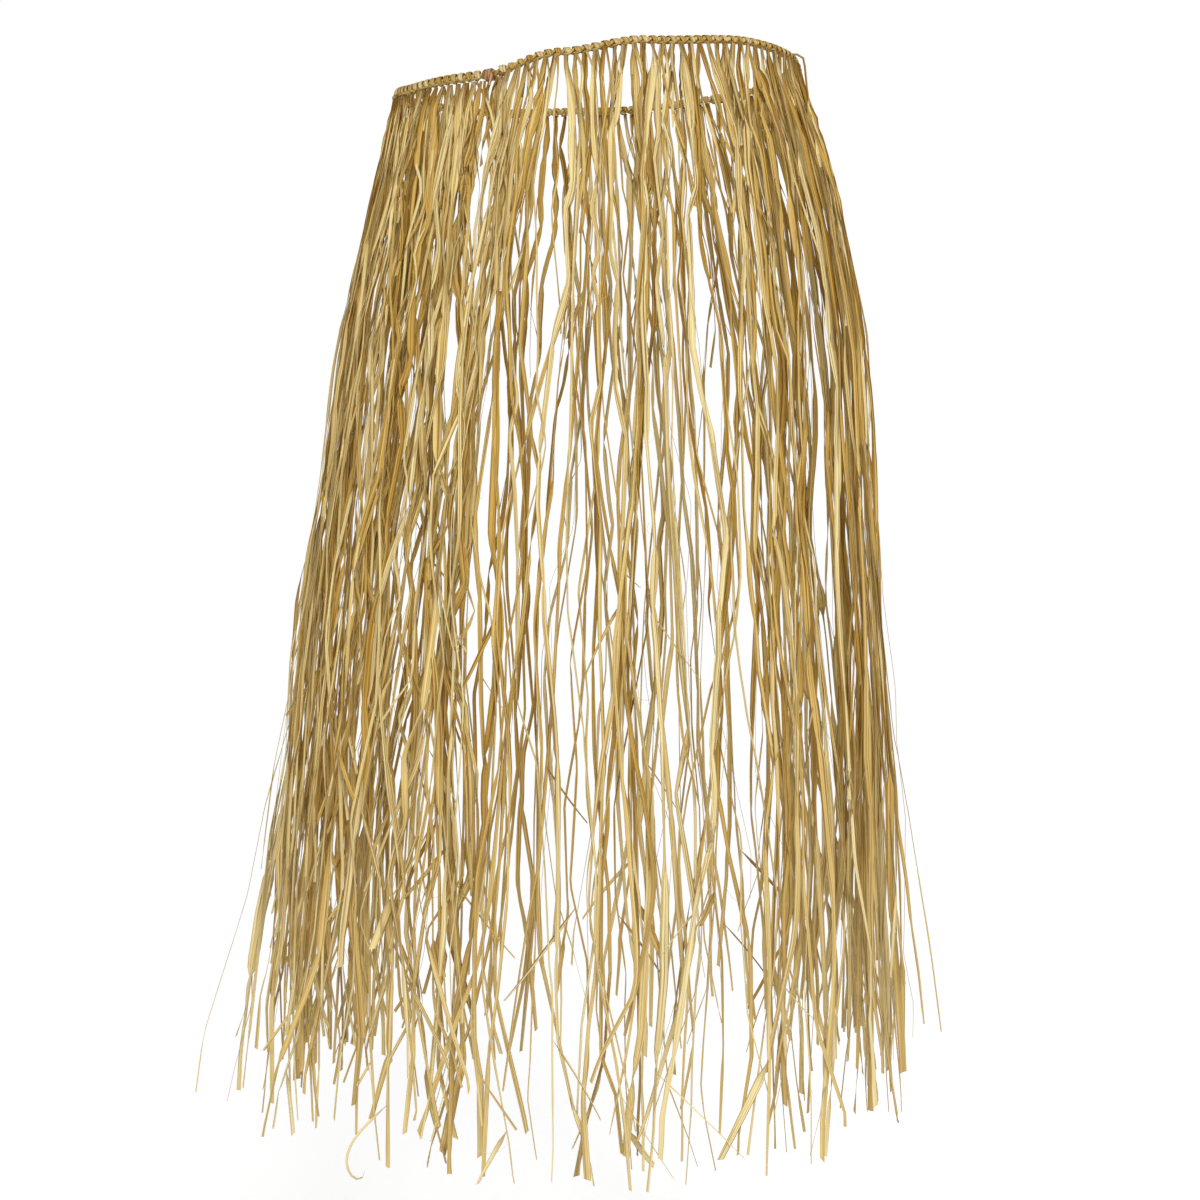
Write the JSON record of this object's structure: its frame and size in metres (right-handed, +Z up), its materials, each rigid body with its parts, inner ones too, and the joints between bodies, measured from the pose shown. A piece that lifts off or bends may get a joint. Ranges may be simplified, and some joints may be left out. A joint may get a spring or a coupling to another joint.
{
  "type": "grass skirt",
  "caption": "Worn raffia grass skirt with an open waist: a twisted waist cord, a wrapped tie, and loose ribbons knotted on the cord that hang over the hips to a ragged hem.",
  "frame": {"origin": "middle of the waist opening at the height of the waist cord, where the wearer's waist holds the skirt up", "axes": "+Z up, the skirt's front faces -Y, +X towards the right of someone who looks at the front"},
  "size_m": [0.5461, 0.3976, 0.7915],
  "materials": {
    "raffia_fringe": "dry natural raffia ribbon, pale straw, with a soft lengthwise sheen",
    "raffia_cord": "twisted natural raffia, a little darker than the ribbons"
  },
  "bodies": {
    "root": {"waist_cord": "raffia_cord", "waist_tie": "raffia_cord", "fringe_01": "raffia_fringe", "fringe_02": "raffia_fringe", "fringe_03": "raffia_fringe", "fringe_04": "raffia_fringe", "fringe_05": "raffia_fringe", "fringe_06": "raffia_fringe", "fringe_07": "raffia_fringe", "fringe_08": "raffia_fringe", "fringe_09": "raffia_fringe", "fringe_10": "raffia_fringe", "fringe_11": "raffia_fringe", "fringe_12": "raffia_fringe"}
  },
  "joints": []
}
